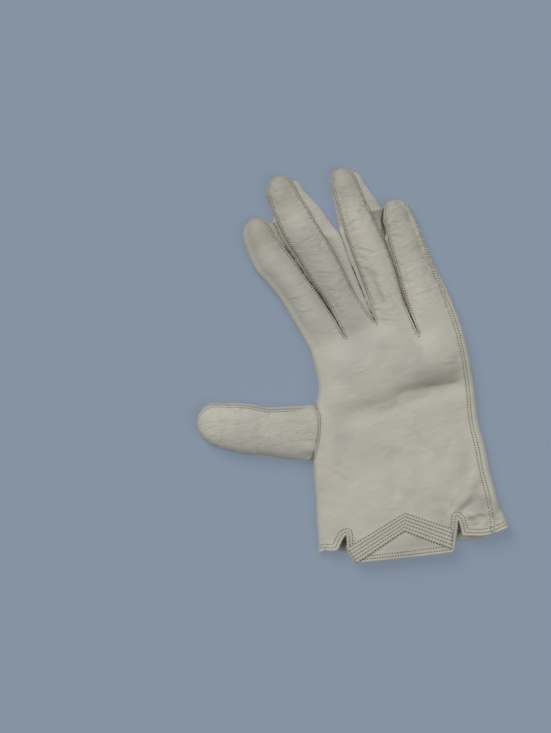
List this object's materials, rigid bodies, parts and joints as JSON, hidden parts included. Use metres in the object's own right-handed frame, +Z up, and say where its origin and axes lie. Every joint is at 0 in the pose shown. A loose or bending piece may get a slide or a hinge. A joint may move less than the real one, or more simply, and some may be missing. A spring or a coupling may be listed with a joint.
{
  "type": "wrist-length leather dress glove",
  "caption": "Smooth cream kid leather glove for the right hand, back up, with sewn finger walls, a notched cuff and a corded chevron.",
  "frame": {"origin": "middle of the palm on the plane that the glove lies on", "axes": "+Y towards the fingertips, +X towards the little finger, +Z up through the back of the hand"},
  "size_m": [0.1579, 0.2306, 0.0172],
  "materials": {
    "kid_leather": "smooth cream kid leather with a soft sheen",
    "fourchette_leather": "the same cream kid leather, cut in strips",
    "cording_leather": "cream kid leather stitched over cords"
  },
  "bodies": {
    "root": {"trank": "kid_leather", "thumb": "kid_leather", "fourchette_index_middle": "fourchette_leather", "fourchette_middle_ring": "fourchette_leather", "fourchette_ring_little": "fourchette_leather", "chevron_band": "cording_leather"}
  },
  "joints": []
}
